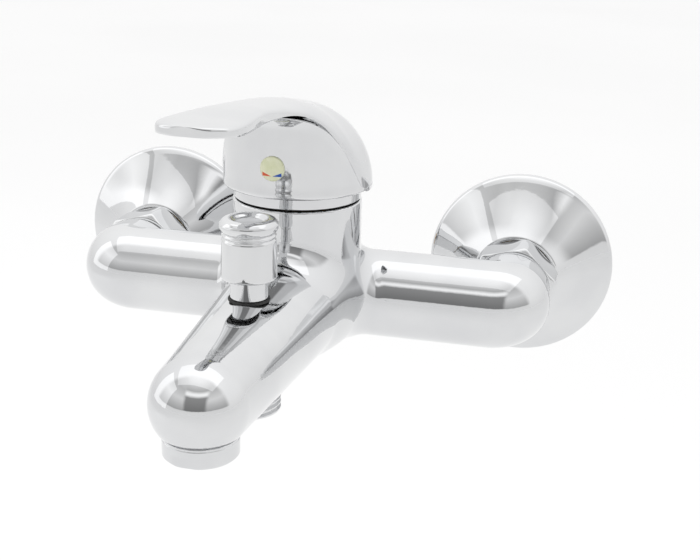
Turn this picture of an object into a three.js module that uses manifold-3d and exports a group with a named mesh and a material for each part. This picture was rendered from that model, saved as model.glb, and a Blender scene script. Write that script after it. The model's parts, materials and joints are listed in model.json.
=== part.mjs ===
// Wall mounted bath and shower mixer with a single lever, a tapered spout, a pull-up diverter
// and a hose outlet under the spout.
//
// Millimetres. X runs along the wall to the right, Y runs into the wall and Z is up. The origin
// is on the wall's face, halfway between the two supply inlets.

import * as THREE from 'three';
import { mergeVertices } from 'three/addons/utils/BufferGeometryUtils.js';
import Module from 'manifold-3d';

const wasm = await Module();
wasm.setup();

// ---------------------------------------------------------------- driving dimensions

const gap = 0.3;                    // running and assembly gap between separate pieces
const inletX = 75;                  // half of the 150 mm distance between the supplies
const armY = -55.2;                 // centre line of the two arms
const armRadius = 16.1;
const elbowRadius = 6;              // centre line radius of the turned-back arm ends
const neckRadius = 15;
const neckEndY = -38.6;

const barrelY = -69.8;              // upright axis of barrel, cartridge and handle
const barrelRadius = 23.07;
const barrelTop = 38.6;
const barrelBottom = -15;

const spoutZ = 1.5;                 // the spout's centre line is level
const spoutRoot = { y: -90, halfWidth: 21.2, halfHeight: 18.8 };
const spoutEnd = { y: -170, halfWidth: 15.3, halfHeight: 14.9 };

const diverterY = -125;             // knob, stem, valve and hose outlet share this upright axis
const bonnetSeatZ = 17.9;

const aeratorY = spoutEnd.y;
const aeratorSeamZ = -7.7;
const aeratorBottomZ = -14.6;
const aeratorRadius = 11.5;
const aeratorFlat = 10.4;           // half of the 21 mm across the spanner flats

const outletRadius = 10.4;          // G1/2 hose thread
const outletBottomZ = -20;
const outletShoulderZ = -12.6;

const coneRadius = 36.7;            // wall covers
const coneTopRadius = 16.1;
const coneDepth = 22;
const coneWall = 1.2;
const coneFaceRadius = 35.3;        // where the cone's face leaves the rounded rim
const coneFaceDepth = 4.6;
const unionRadius = 13.05;          // G3/4 thread that the nut and the cover slide over

const nutAcrossFlats = 30;
const nutFrontY = -37.4;
const nutBackY = -22.4;

const handleTurn = THREE.MathUtils.degToRad(-3.1);  // the lever stands a little left of the spout
const pinRadius = 1.5;
const pivotZ = 32;                  // height of the pin that the spindle tilts on
const ballZ = 21.5;                 // height of the spindle's ball, which slides the ceramic disc
const ballRadius = 2.6;
const slotFront = -7.6;             // the turret's slot leaves room for the ball at full lift
const slotBack = 12;
const lipZ = 43.5;                  // lower edge of the handle's skirt
const skirtRadius = 26.5;
const skirtInside = 24.3;
const badgeZ = 54.1;
const bladeStart = 20;              // the hood's section starts to turn square here,
const bladeFull = 70;               // and is fully square from here to the tip
const bladeSideSquare = 0.35;
const bladeTopSquare = 0.62;

// ---------------------------------------------------------------- materials

const chrome = { color: 0xd9dbdd, roughness: 0.06, metalness: 1 };
const brass = { color: 0xc09a4a, roughness: 0.35, metalness: 1 };
const rubber = { color: 0x141414, roughness: 0.75, metalness: 0 };
const ceramic = { color: 0xe9e6dd, roughness: 0.25, metalness: 0 };
const whitePlastic = { color: 0xe8e8e4, roughness: 0.45, metalness: 0 };
const steel = { color: 0xa7a9ab, roughness: 0.3, metalness: 1 };
const badgeCream = { color: 0xe6e6bd, roughness: 0.35, metalness: 0 };

// ---------------------------------------------------------------- solids

function signedVolume(positions, index) {
  const a = new THREE.Vector3();
  const b = new THREE.Vector3();
  const c = new THREE.Vector3();
  let sum = 0;
  for (let i = 0; i < index.length; i += 3) {
    a.fromArray(positions, index[i] * 3);
    b.fromArray(positions, index[i + 1] * 3);
    c.fromArray(positions, index[i + 2] * 3);
    sum += a.dot(b.cross(c));
  }
  return sum;
}

// A closed three.js geometry becomes a solid with its faces pointing out.
function solid(geometry) {
  const bare = geometry.clone();
  bare.deleteAttribute('normal');
  bare.deleteAttribute('uv');
  const merged = mergeVertices(bare, 1e-4);
  const positions = merged.attributes.position.array;
  const index = [];
  for (let i = 0; i < merged.index.count; i += 3) {
    const [p, q, r] = [0, 1, 2].map((k) => merged.index.getX(i + k));
    if (p !== q && q !== r && r !== p) index.push(p, q, r);
  }
  if (signedVolume(positions, index) < 0) index.reverse();
  return new wasm.Manifold(new wasm.Mesh({
    numProp: 3,
    vertProperties: new Float32Array(positions),
    triVerts: new Uint32Array(index),
  }));
}

const union = (...solids) => solids.reduce((sum, piece) => sum.add(piece));
const cut = (blank, ...tools) => tools.reduce((rest, tool) => rest.subtract(tool), blank);

// Upright cylinder between two heights.
function cylinderZ(radius, z0, z1, x = 0, y = 0, sides = 24) {
  const shape = new THREE.CylinderGeometry(radius, radius, z1 - z0, sides);
  return solid(shape.rotateX(Math.PI / 2).translate(x, y, (z0 + z1) / 2));
}

// Cylinder along Y, square to the wall.
function cylinderY(radius, y0, y1, x = 0, z = 0, sides = 24) {
  const shape = new THREE.CylinderGeometry(radius, radius, y1 - y0, sides);
  return solid(shape.translate(x, (y0 + y1) / 2, z));
}

// Cylinder along X, level with the wall.
function cylinderX(radius, x0, x1, y = 0, z = 0, sides = 24) {
  const shape = new THREE.CylinderGeometry(radius, radius, x1 - x0, sides);
  return solid(shape.rotateZ(Math.PI / 2).translate((x0 + x1) / 2, y, z));
}

function box(x0, x1, y0, y1, z0, z1) {
  const shape = new THREE.BoxGeometry(x1 - x0, y1 - y0, z1 - z0);
  return solid(shape.translate((x0 + x1) / 2, (y0 + y1) / 2, (z0 + z1) / 2));
}

const outline = (pairs) => pairs.map(([radius, height]) => new THREE.Vector2(radius, height));

// Profile of [radius, height] pairs turned about an upright axis.
function latheZ(pairs, x = 0, y = 0, sides = 24) {
  return solid(new THREE.LatheGeometry(outline(pairs), sides).rotateX(Math.PI / 2).translate(x, y, 0));
}

// Profile of [radius, y] pairs turned about an axis square to the wall.
function latheY(pairs, x = 0, z = 0, sides = 24) {
  return solid(new THREE.LatheGeometry(outline(pairs), sides).translate(x, 0, z));
}

// A ring with a rectangular section, its axis upright.
function ringZ(inner, outer, z0, z1, x = 0, y = 0, sides = 24) {
  return latheZ([[inner, z0], [outer, z0], [outer, z1], [inner, z1], [inner, z0]], x, y, sides);
}

// The same, with its axis square to the wall.
function ringY(inner, outer, y0, y1, x = 0, z = 0, sides = 24) {
  return latheY([[inner, y0], [outer, y0], [outer, y1], [inner, y1], [inner, y0]], x, z, sides);
}

// Skin over a row of closed rings that all have the same number of points.
function loft(rings) {
  const count = rings[0].length;
  const points = rings.flat();
  const index = [];
  for (let i = 0; i < rings.length - 1; i += 1) {
    for (let j = 0; j < count; j += 1) {
      const k = (j + 1) % count;
      const [a, b, c, d] = [i * count + j, i * count + k, (i + 1) * count + k, (i + 1) * count + j];
      index.push(a, b, c, a, c, d);
    }
  }
  for (const [ring, turn] of [[0, -1], [rings.length - 1, 1]]) {
    const middle = new THREE.Vector3();
    rings[ring].forEach((p) => middle.addScaledVector(p, 1 / count));
    points.push(middle);
    for (let j = 0; j < count; j += 1) {
      const edge = [ring * count + j, ring * count + (j + 1) % count];
      if (turn < 0) edge.reverse();
      index.push(edge[0], edge[1], points.length - 1);
    }
  }
  const geometry = new THREE.BufferGeometry().setFromPoints(points);
  return solid(geometry.setIndex(index));
}

// ---------------------------------------------------------------- scene

const mixer = new THREE.Group();
mixer.name = 'bath_mixer';

function place(name, piece, look, group = mixer) {
  const data = piece.getMesh();
  const geometry = new THREE.BufferGeometry();
  geometry.setAttribute('position', new THREE.BufferAttribute(new Float32Array(data.vertProperties), 3));
  geometry.setIndex(new THREE.BufferAttribute(new Uint32Array(data.triVerts), 1));
  geometry.computeVertexNormals();
  const mesh = new THREE.Mesh(geometry, new THREE.MeshStandardMaterial(look));
  mesh.name = name;
  group.add(mesh);
}

// ---------------------------------------------------------------- valve body

// Two level arms whose ends turn back to the wall through a round corner into a short neck.
function armBar() {
  const cornerX = inletX - elbowRadius;
  const cornerY = armY + elbowRadius;
  const reach = elbowRadius + armRadius + 5;             // the cutting boxes clear the corner
  const steps = 10;
  const profile = [[0, -armRadius]];
  for (let i = 0; i <= steps; i += 1) {
    const around = Math.PI * (i / steps - 0.5);
    profile.push([elbowRadius + armRadius * Math.cos(around), armRadius * Math.sin(around)]);
  }
  profile.push([0, armRadius]);
  const ends = [-1, 1].map((side) => {
    const quarter = side > 0
      ? box(cornerX, cornerX + reach, cornerY - reach, cornerY, -reach, reach)
      : box(-cornerX - reach, -cornerX, cornerY - reach, cornerY, -reach, reach);
    const corner = latheZ(profile, side * cornerX, cornerY, 32).intersect(quarter);
    return corner.add(cylinderY(neckRadius, cornerY - 1, neckEndY, side * inletX, 0, 24));
  });
  return union(cylinderX(armRadius, -cornerX, cornerX, armY, 0, 20), ...ends);
}

// Oval bar that tapers to the front and ends in a ball.
function spoutBar() {
  const sides = 28;
  const ring = (y, halfWidth, halfHeight) => {
    const points = [];
    for (let j = 0; j < sides; j += 1) {
      const around = (2 * Math.PI * j) / sides;
      points.push(new THREE.Vector3(
        halfWidth * Math.cos(around), y, spoutZ + halfHeight * Math.sin(around)));
    }
    return points;
  };
  const rings = [ring(barrelY, spoutRoot.halfWidth, armRadius)];
  rings.push(ring(spoutRoot.y, spoutRoot.halfWidth, spoutRoot.halfHeight));
  rings.push(ring(spoutEnd.y, spoutEnd.halfWidth, spoutEnd.halfHeight));
  const steps = 6;
  for (let i = 1; i < steps; i += 1) {
    const turn = (Math.PI / 2) * (i / steps);
    const shrink = Math.cos(turn);
    rings.push(ring(spoutEnd.y - spoutEnd.halfWidth * Math.sin(turn),
      spoutEnd.halfWidth * shrink, spoutEnd.halfHeight * shrink));
  }
  rings.push(ring(spoutEnd.y - spoutEnd.halfWidth + 0.05, 0.8, 0.8));
  return loft(rings);
}

function valveBody() {
  const barrel = latheZ([
    [0, barrelBottom], [10, barrelBottom], [16, barrelBottom + 3], [20.5, barrelBottom + 8],
    [barrelRadius, barrelBottom + 16], [barrelRadius, barrelTop - 0.4],
    [barrelRadius - 0.4, barrelTop], [0, barrelTop],
  ], 0, barrelY, 36);
  const slope = new THREE.BoxGeometry(40, 50, 20).translate(0, 25, -10)
    .rotateX(-Math.PI / 9).translate(0, aeratorY + 12.5, aeratorSeamZ);
  const outside = cut(
    union(barrel, armBar(), spoutBar()),
    box(-20, 20, aeratorY - 25, aeratorY + 12.5, -20, aeratorSeamZ),
    solid(slope),
    cylinderZ(7, bonnetSeatZ, 25, 0, diverterY, 28),
    cylinderZ(11.2, -25, outletShoulderZ, 0, diverterY, 32),
  );
  const cartridgeWell = union(
    cylinderZ(17.6, 5, 60, 0, barrelY, 32),
    cylinderZ(19.9, 33.5, 60, 0, barrelY, 32),
  );
  const portZ = -4;
  const channelY = barrelY + 8;
  const supplies = [-1, 1].map((side) => {
    const along = (x0, x1) => [Math.min(side * x0, side * x1), Math.max(side * x0, side * x1)];
    return union(
      cylinderX(8.5, ...along(26, inletX - 2), armY, 0, 18),
      cylinderY(10.6, armY + 1, neckEndY + 1, side * inletX, 0, 20),
      cylinderX(4.2, ...along(7, 33), channelY, portZ, 16),
      cylinderZ(3.6, portZ + 0.5, 6, side * 7, channelY, 14),
    );
  });
  const waterway = union(
    cylinderZ(4.2, portZ, 6, 0, barrelY - 8, 16),
    cylinderY(5.2, diverterY + 2, barrelY - 4, 0, -1, 20),
    cylinderZ(7, -7.6, 10, 0, diverterY, 28),
    cylinderZ(7.9, 4.8, 20, 0, diverterY, 28),
    cylinderZ(8.9, -20, -7.6, 0, diverterY, 28),
    box(-3.5, 3.5, -160, diverterY, 7.6, 12.4),
    box(-9, 9, aeratorY, -137, -6, 12),
    cylinderZ(9.2, -6, 11, 0, aeratorY, 28),
    cylinderZ(11.1, -12, -1, 0, aeratorY, 36),
  );
  return cut(outside, cartridgeWell, ...supplies, waterway);
}

// ---------------------------------------------------------------- wall side

function escutcheon(x) {
  const steps = 3;
  const front = [];
  const back = [];
  for (let i = 0; i <= steps; i += 1) {
    const t = i / steps;
    const flare = 1.6 * Math.sin(Math.PI * t);          // the cone's face is slightly hollow
    const radius = coneFaceRadius + (coneTopRadius - coneFaceRadius) * t - flare;
    const depth = coneFaceDepth + (coneDepth - coneFaceDepth) * t;
    front.push([radius, -depth]);
    back.unshift([radius - coneWall, coneWall - depth]);
  }
  const hole = unionRadius + gap;
  back[0] = [coneTopRadius - coneWall, -coneDepth + coneWall];
  return latheY([
    [coneRadius - coneWall, 0], [coneRadius, 0], [coneRadius, -2.4], [36.3, -3.6], ...front,
    [hole, -coneDepth], [hole, -coneDepth + coneWall], ...back,
    [coneRadius - coneWall, -2.4], [coneRadius - coneWall, 0],
  ], x, 0, 36);
}

// Offset union: 3/4 inch thread to the nut, 1/2 inch thread into the wall.
function wallUnion(x) {
  const offset = -5;
  const outside = union(
    cylinderY(unionRadius, -28.4, -12, x, 0, 24),
    cylinderY(11.5, -14, -7, x, offset / 2, 6),
    cylinderY(10.4, -9, 14, x, offset, 24),
  );
  return cut(outside, cylinderY(8, -29, -10, x, 0, 20), cylinderY(7, -11, 15, x, offset, 20));
}

function unionNut(x) {
  const flat = nutAcrossFlats / 2;
  const corner = flat / Math.cos(Math.PI / 6);
  const turn = Math.PI / 12;
  const hex = new THREE.CylinderGeometry(corner, corner, nutBackY - nutFrontY, 6).rotateY(turn);
  const block = solid(hex.translate(x, (nutFrontY + nutBackY) / 2, 0));
  const chamfers = latheY([
    [0, nutFrontY], [flat - 0.8, nutFrontY], [corner + 0.4, nutFrontY + 2.2],
    [corner + 0.4, nutBackY - 2.2], [flat - 0.2, nutBackY], [0, nutBackY],
  ], x, 0, 24);
  const bore = union(
    cylinderY(11.3, nutFrontY - 1, nutBackY + 1, x, 0, 24),
    cylinderY(13.4, nutFrontY + 3, nutBackY + 1, x, 0, 24),
  );
  return cut(block.intersect(chamfers), bore);
}

function inletSeat(x) {
  const flangeFront = nutFrontY + 3 + gap;
  const seatEndY = -50;
  const outside = union(
    cylinderY(10.2, seatEndY, flangeFront + 1, x, 0, 20),
    cylinderY(12.9, flangeFront, flangeFront + 3, x, 0, 28),
  );
  return cut(outside, cylinderY(7.5, seatEndY - 1, flangeFront + 4, x, 0, 20));
}

function strainer(x) {
  const disc = cylinderY(7.6, -30.4, -29.4, x, 0, 20);
  const holes = [];
  for (let i = 0; i < 6; i += 1) {
    const around = (Math.PI / 3) * i;
    holes.push(cylinderY(1.5, -31, -29, x + 4.6 * Math.cos(around), 4.6 * Math.sin(around), 8));
  }
  return cut(disc, cylinderY(1.5, -31, -29, x, 0, 8), ...holes);
}

function wallSide() {
  for (const [side, x] of [['left', -inletX], ['right', inletX]]) {
    place(`escutcheon_${side}`, escutcheon(x), chrome);
    place(`wall_union_${side}`, wallUnion(x), brass);
    place(`union_nut_${side}`, unionNut(x), chrome);
    place(`inlet_seat_${side}`, inletSeat(x), brass);
    place(`union_washer_${side}`, ringY(8, 12.9, -30.8, -28.7, x, 0, 28), rubber);
    place(`strainer_${side}`, strainer(x), steel);
  }
}

// ---------------------------------------------------------------- cartridge

// Everything that turns with the lever is built about the upright axis, facing -Y.
const turning = new THREE.Group();
turning.position.set(0, barrelY, 0);
turning.rotation.z = handleTurn;
mixer.add(turning);

const ports = [[7, 8], [-7, 8], [0, -8]];                // hot, cold and mixed, about the axis

function portHoles(radius, z0, z1, y = barrelY) {
  return ports.map(([x, offset]) => cylinderZ(radius, z0, z1, x, y + offset, 16));
}

function cartridge() {
  place('cartridge_base', cut(cylinderZ(17.2, 5.3, 9.4, 0, barrelY), ...portHoles(4.6, 5, 10)), whitePlastic);
  const names = ['cartridge_seal_cold', 'cartridge_seal_hot', 'cartridge_seal_outlet'];
  ports.forEach(([x, offset], i) => {
    place(names[i], ringZ(3, 4.3, 5.3, 9.4, x, barrelY + offset, 20), rubber);
  });
  const housing = latheZ([
    [15.2, 9.7], [17.2, 9.7], [17.2, 40], [12.9, 40], [12.9, 37], [15.2, 37], [15.2, 9.7],
  ], 0, barrelY, 28);
  place('cartridge_housing', housing, whitePlastic);
  place('ceramic_fixed_disc', cut(cylinderZ(14.9, 9.7, 13.4, 0, barrelY), ...portHoles(3, 9, 14)), ceramic);
  const clampNut = latheZ([
    [17.5, 34], [19.5, 34], [19.5, 42.5], [18.3, 44.5], [12.9, 44.5], [12.9, 40.3], [17.5, 40.3], [17.5, 34],
  ], 0, barrelY, 28);
  const spannerSlots = [0, 1, 2, 3].map((i) => {
    const slot = new THREE.BoxGeometry(3.4, 6, 3).translate(0, 17.5, 44).rotateZ((Math.PI / 2) * i);
    return solid(slot.translate(0, barrelY, 0));
  });
  place('cartridge_clamp_nut', cut(clampNut, ...spannerSlots), brass);

  place('ceramic_moving_disc', cut(
    cylinderZ(10.4, 13.7, 17, 0, 0, 28), solid(new THREE.BoxGeometry(11, 10, 2.4).translate(0, 0, 14.2)),
  ), ceramic, turning);
  place('disc_carrier', cut(
    cylinderZ(10.2, 17.3, 22.4, 0, 0, 28), cylinderZ(ballRadius + 0.5, 18.6, 23, 0, 0, 20),
  ), whitePlastic, turning);
  const turret = cut(
    latheZ([[0, 23], [14.8, 23], [14.8, 36.6], [12.5, 36.6], [12.5, 45], [0, 45]], 0, 0, 36),
    box(-4.5, 4.5, slotFront, slotBack, 22, 46),
    cylinderX(pinRadius + gap, -20, 20, 0, pivotZ, 12),
  );
  place('cartridge_turret', turret, whitePlastic, turning);
  place('pivot_pin', cylinderX(pinRadius, -13.8, 13.8, 0, pivotZ, 16), steel, turning);
}

function spindle() {
  const bar = box(-4, 4, -3.6, 3.6, pivotZ - 4.6, 62);
  const neck = cylinderZ(2, ballZ, pivotZ - 4, 0, 0, 16);
  const ball = solid(new THREE.SphereGeometry(ballRadius, 16, 10).translate(0, 0, ballZ));
  const piece = cut(union(bar, neck, ball), cylinderX(pinRadius + gap, -6, 6, 0, pivotZ, 16));
  place('spindle', piece, steel, turning);
}

// ---------------------------------------------------------------- handle

// Half width, rim height and crest height of the hood at a distance s in front of the axis.
const hood = [
  { s: -26.4, half: 1.5, rim: lipZ, crest: lipZ + 2.5 },
  { s: -25.2, half: 8.4, rim: lipZ, crest: 54.2 },
  { s: -22, half: 15.2, rim: lipZ, crest: 61 },
  { s: -17, half: 20.6, rim: lipZ, crest: 66.5 },
  { s: -10, half: 24.7, rim: lipZ, crest: 70.4 },
  { s: -3, half: 26.3, rim: lipZ, crest: 72.6 },
  { s: 5.5, half: 26, rim: lipZ + 0.5, crest: 74.4 },
  { s: 12.8, half: 23.2, rim: 55.4, crest: 75.8 },
  { s: 19, half: 18.6, rim: 65.2, crest: 76.9 },
  { s: 25, half: 14.6, rim: 71.1, crest: 77.8 },
  { s: 35, half: 11.6, rim: 74.3, crest: 78.9 },
  { s: 47, half: 10.2, rim: 75.6, crest: 79.9 },
  { s: 60, half: 10.6, rim: 76.4, crest: 80.6 },
  { s: 72, half: 12, rim: 77, crest: 81 },
  { s: 81, half: 13, rim: 77.4, crest: 81.3 },
  { s: 88, half: 12.2, rim: 77.7, crest: 81.4 },
  { s: 92.8, half: 9.2, rim: 78, crest: 81.4 },
  { s: 95.6, half: 4, rim: 78.2, crest: 81.2 },
];

// Closed section of the hood: a full arch over the rim, squarer where the blade is thin. Where a
// floor is given below the rim, the section goes straight down to it.
function hoodRing({ s, half, rim, crest }, floor = Infinity) {
  const steps = 12;
  const blade = THREE.MathUtils.smoothstep(s, bladeStart, bladeFull);
  const acrossPower = 1 - bladeSideSquare * blade;
  const upPower = 1 - bladeTopSquare * blade;
  const ring = [];
  for (let i = 0; i <= steps; i += 1) {
    const around = (Math.PI * i) / steps;
    const across = Math.sign(Math.cos(around)) * Math.abs(Math.cos(around)) ** acrossPower;
    const up = Math.abs(Math.sin(around)) ** upPower;
    ring.push(new THREE.Vector3(half * across, -s, rim + (crest - rim) * up));
  }
  if (floor < rim) {
    ring.push(new THREE.Vector3(-half, -s, floor), new THREE.Vector3(half, -s, floor));
  }
  return ring;
}

function handle() {
  const cover = loft(hood.map((station) => hoodRing(station)));
  const under = loft(hood.filter(({ s }) => s < 30).map((station) => hoodRing(station, lipZ - 6)));
  const skirt = latheZ([
    [0, lipZ], [skirtRadius - 0.5, lipZ], [skirtRadius, lipZ + 0.6], [skirtRadius, 78], [0, 78],
  ], 0, 0, 40).intersect(under);
  const inside = latheZ([
    [0, lipZ - 2], [skirtInside, lipZ - 2], [skirtInside, 48], [23, 55], [19, 61.5], [12, 66], [0, 67],
  ], 0, 0, 32);
  const boss = cylinderZ(7.2, 50.5, 70, 0, 0, 24);
  const socket = box(-4 - gap, 4 + gap, -3.6 - gap, 3.6 + gap, 50, 62 + gap);
  const screwHole = cylinderY(2.8, -28, 0, 0, badgeZ, 16);
  const badgeHole = cylinderY(4.5, -30, -24.4, 0, badgeZ, 24);
  const shell = cut(union(cover, skirt), inside);
  place('handle', cut(union(shell, boss), socket, screwHole, badgeHole), chrome, turning);
  place('handle_set_screw', cut(
    cylinderY(2.5, -12, -3.6 - gap, 0, badgeZ, 14), cylinderY(1.3, -13, -9, 0, badgeZ, 6),
  ), steel, turning);
  place('index_badge', cylinderY(4.2, -26.7, -24.7, 0, badgeZ, 24), badgeCream, turning);
}

function collar() {
  place('body_seal_ring', ringZ(20.6, 22.9, barrelTop + gap, barrelTop + 0.9, 0, barrelY, 36), rubber);
  place('cover_ring', latheZ([
    [20, barrelTop + 1.2], [22.8, barrelTop + 1.2], [22.8, 44], [21.8, 45], [20, 45],
    [20, barrelTop + 1.2],
  ], 0, barrelY, 36), chrome);
}

// ---------------------------------------------------------------- diverter

function helix(radius, wire, z0, z1, turns, y) {
  class Coil extends THREE.Curve {
    getPoint(t, target = new THREE.Vector3()) {
      const around = 2 * Math.PI * turns * t;
      return target.set(radius * Math.cos(around), y + radius * Math.sin(around), z0 + (z1 - z0) * t);
    }
  }
  const section = new THREE.Shape().absarc(0, 0, wire, 0, 2 * Math.PI);
  const options = { steps: turns * 8, curveSegments: 2, bevelEnabled: false, extrudePath: new Coil() };
  return solid(new THREE.ExtrudeGeometry(section, options));
}

function diverter() {
  const y = diverterY;
  const bonnet = latheZ([
    [3.2, 9.5], [7.6, 9.5], [7.6, bonnetSeatZ - 0.1], [5.4, bonnetSeatZ - 0.1], [5.4, 18.9], [6.1, 18.9],
    [6.1, 30], [2, 30], [2, 27.6], [3.2, 27.6], [3.2, 9.5],
  ], 0, y, 28);
  place('diverter_bonnet', bonnet, chrome);
  place('bonnet_seal', ringZ(5.7, 6.6, bonnetSeatZ + 0.1, 18.6, 0, y, 28), rubber);
  place('diverter_seat', ringZ(4.4, 7.6, 5.1, 7.1, 0, y, 28), brass);
  const knob = latheZ([
    [0, 32], [7, 32], [7, 25.4], [8.6, 25.4], [9.1, 26], [8.8, 38.6], [8.4, 39.2], [8.8, 39.9],
    [8.4, 40.5], [8.9, 41.2], [9.45, 42.2], [9.45, 43.6], [8.4, 44.7], [6.2, 45.2], [4.2, 44.2], [0, 43.6],
  ], 0, y, 28);
  const stemHole = cylinderZ(1.5 + gap, 31, 38, 0, y, 14);
  place('diverter_knob', cut(knob, stemHole), chrome);
  place('diverter_stem', latheZ([
    [0, -6], [1.5, -6], [1.5, 8], [2.6, 8], [2.6, 9.4], [1.5, 9.4], [1.5, 37.6], [0, 37.6],
  ], 0, y, 16), brass);
  place('diverter_valve', latheZ([
    [1.8, -6.8], [5.9, -6.8], [6.3, -6.2], [6.3, -3.8], [5.9, -3.2], [1.8, -3.2], [1.8, -6.8],
  ], 0, y, 28), rubber);
  place('diverter_spring', helix(2.4, 0.4, 10.6, 27, 6, y), steel);
}

// ---------------------------------------------------------------- outlets

// Turned piece with a stepped outline that stands for the hose thread's crests and roots.
function threadProfile(inner, root, crest, z0, z1, pitch) {
  const points = [[inner, z0], [root, z0]];
  const count = Math.floor((z1 - z0 - 0.8) / pitch);
  for (let i = 0; i < count; i += 1) {
    const z = z0 + 0.6 + i * pitch;
    points.push([root, z], [crest, z + pitch * 0.4], [crest, z + pitch * 0.6]);
  }
  points.push([root, z0 + 0.6 + count * pitch], [root, z1], [inner, z1], [inner, z0]);
  return points;
}

function hoseOutlet() {
  const y = diverterY;
  const thread = latheZ(threadProfile(6.9, 9.4, outletRadius, outletBottomZ, outletShoulderZ - gap, 1.8),
    0, y, 24);
  const shank = ringZ(6.9, 8.6, outletShoulderZ - 1, -7.9, 0, y, 28);
  const lowerSeat = union(ringZ(3.6, 7.5, -8.9, -7.9, 0, y, 28), ringZ(3.6, 6.6, -8.5, -7.1, 0, y, 28));
  place('shower_outlet', union(thread, shank, lowerSeat), chrome);
  place('check_valve_cage', latheZ([
    [3.2, -19.4], [6.6, -19.4], [6.6, -9.3], [5.6, -9.3], [5.6, -18.2], [3.2, -18.2], [3.2, -19.4],
  ], 0, y, 24), whitePlastic);
  place('check_valve_poppet', latheZ([
    [0, -17.4], [0.9, -17.4], [0.9, -12], [4.6, -10.6], [4.6, -9.6], [0, -9.3],
  ], 0, y, 20), whitePlastic);
  place('check_valve_spring', helix(3.9, 0.3, -17.7, -12.2, 3, y), steel);
}

function aerator() {
  const flatHeight = 3.6;
  const flats = [-1, 1].map((side) => {
    const shape = new THREE.BoxGeometry(40, 10, flatHeight + 1);
    const middle = aeratorY + side * (aeratorFlat + 5);
    return solid(shape.translate(0, middle, aeratorBottomZ + (flatHeight - 1) / 2));
  });
  const housing = latheZ([
    [9.4, aeratorBottomZ], [10.8, aeratorBottomZ], [aeratorRadius, aeratorBottomZ + 0.7],
    [aeratorRadius, aeratorSeamZ - 0.35], [10.8, aeratorSeamZ - 0.35], [10.8, -2], [9.4, -2],
    [9.4, aeratorBottomZ],
  ], 0, aeratorY, 28);
  place('aerator_housing', cut(housing, ...flats), chrome);
  const insert = cylinderZ(9.1, aeratorBottomZ + 0.8, -3, 0, aeratorY, 28);
  const jets = [];
  for (const [count, radius] of [[1, 0], [6, 4.6]]) {
    for (let i = 0; i < count; i += 1) {
      const around = (2 * Math.PI * i) / count;
      const cx = radius * Math.cos(around);
      const cy = aeratorY + radius * Math.sin(around);
      jets.push(cylinderZ(1.6, aeratorBottomZ, -2, cx, cy, 6));
    }
  }
  place('aerator_insert', cut(insert, ...jets), whitePlastic);
  place('aerator_washer', ringZ(7.4, 10.8, -1.7, -1.1, 0, aeratorY, 28), rubber);
}

// ---------------------------------------------------------------- assembly

place('valve_body', valveBody(), chrome);
wallSide();
cartridge();
spindle();
handle();
collar();
diverter();
hoseOutlet();
aerator();

export default mixer;
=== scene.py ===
import json
import math

import bmesh
import bpy
import numpy as np
from mathutils import Matrix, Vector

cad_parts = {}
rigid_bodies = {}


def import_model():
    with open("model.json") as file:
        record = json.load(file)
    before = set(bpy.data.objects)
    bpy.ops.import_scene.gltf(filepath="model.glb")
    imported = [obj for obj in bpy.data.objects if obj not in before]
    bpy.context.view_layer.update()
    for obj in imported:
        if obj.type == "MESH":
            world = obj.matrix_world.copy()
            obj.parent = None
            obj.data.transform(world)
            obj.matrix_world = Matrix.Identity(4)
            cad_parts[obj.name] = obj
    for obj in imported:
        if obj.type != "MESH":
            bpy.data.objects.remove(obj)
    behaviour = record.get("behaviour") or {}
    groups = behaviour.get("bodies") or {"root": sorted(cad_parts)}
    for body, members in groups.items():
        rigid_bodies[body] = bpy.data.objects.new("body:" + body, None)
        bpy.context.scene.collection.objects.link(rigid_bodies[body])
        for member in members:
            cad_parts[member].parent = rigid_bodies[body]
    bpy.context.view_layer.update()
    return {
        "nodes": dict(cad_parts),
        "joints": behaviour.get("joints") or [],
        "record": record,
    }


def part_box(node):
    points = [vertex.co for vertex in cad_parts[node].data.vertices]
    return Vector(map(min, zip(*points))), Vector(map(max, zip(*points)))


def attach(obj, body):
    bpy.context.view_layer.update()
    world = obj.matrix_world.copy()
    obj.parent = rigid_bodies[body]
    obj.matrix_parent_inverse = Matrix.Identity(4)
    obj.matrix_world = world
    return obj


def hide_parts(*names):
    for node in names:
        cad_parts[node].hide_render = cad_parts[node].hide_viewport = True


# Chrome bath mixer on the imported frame. Shapes are worked out in millimetres and stored in metres.

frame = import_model()
nodes = frame["nodes"]
record = frame["record"]
joints = {joint["name"]: joint for joint in frame["joints"]}
mounts = {mount["name"]: mount for mount in record["mounts"]}
print("frame loaded:", len(nodes), "nodes")


# places that the pieces share, read from the frame

def boxOf(node):  # corners of a CAD node in millimetres
    low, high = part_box(node)
    return np.array(low) * 1000, np.array(high) * 1000


def middleOf(node):
    low, high = boxOf(node)
    return (low + high) / 2


barrelY = joints["handle_swivel"]["pos_m"][1] * 1000
leverForward = np.array(joints["disc_slide"]["axis"])  # level direction from the axis to the lever's tip
outletY = mounts["hose_outlet_face"]["pos_m"][1] * 1000
aeratorY = mounts["aerator_face"]["pos_m"][1] * 1000
inletX = middleOf("wall_union_right")[0]
seamZ = boxOf("body_seal_ring")[0][2] - 0.3  # top face of the barrel
lipZ = boxOf("handle")[0][2]


# mesh tools

def gridFaces(rows, columns):
    # quads between neighbours of a rows x columns grid, numbered row by row
    row, column = np.meshgrid(np.arange(rows - 1), np.arange(columns - 1), indexing="ij")
    first = (row * columns + column).ravel()
    return np.stack([first, first + 1, first + columns + 1, first + columns], 1)


def areaNormals(points, faces):
    # each vertex points along the sum of its faces' area vectors, so wide faces stay flat beside narrow bevels
    corners = points[faces]
    across = np.cross(corners[:, 2] - corners[:, 0], corners[:, 3] - corners[:, 1])
    total = np.zeros_like(points)
    for k in range(4):
        np.add.at(total, faces[:, k], across)
    return total / np.maximum(np.linalg.norm(total, axis=1, keepdims=True), 1e-12)


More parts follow.
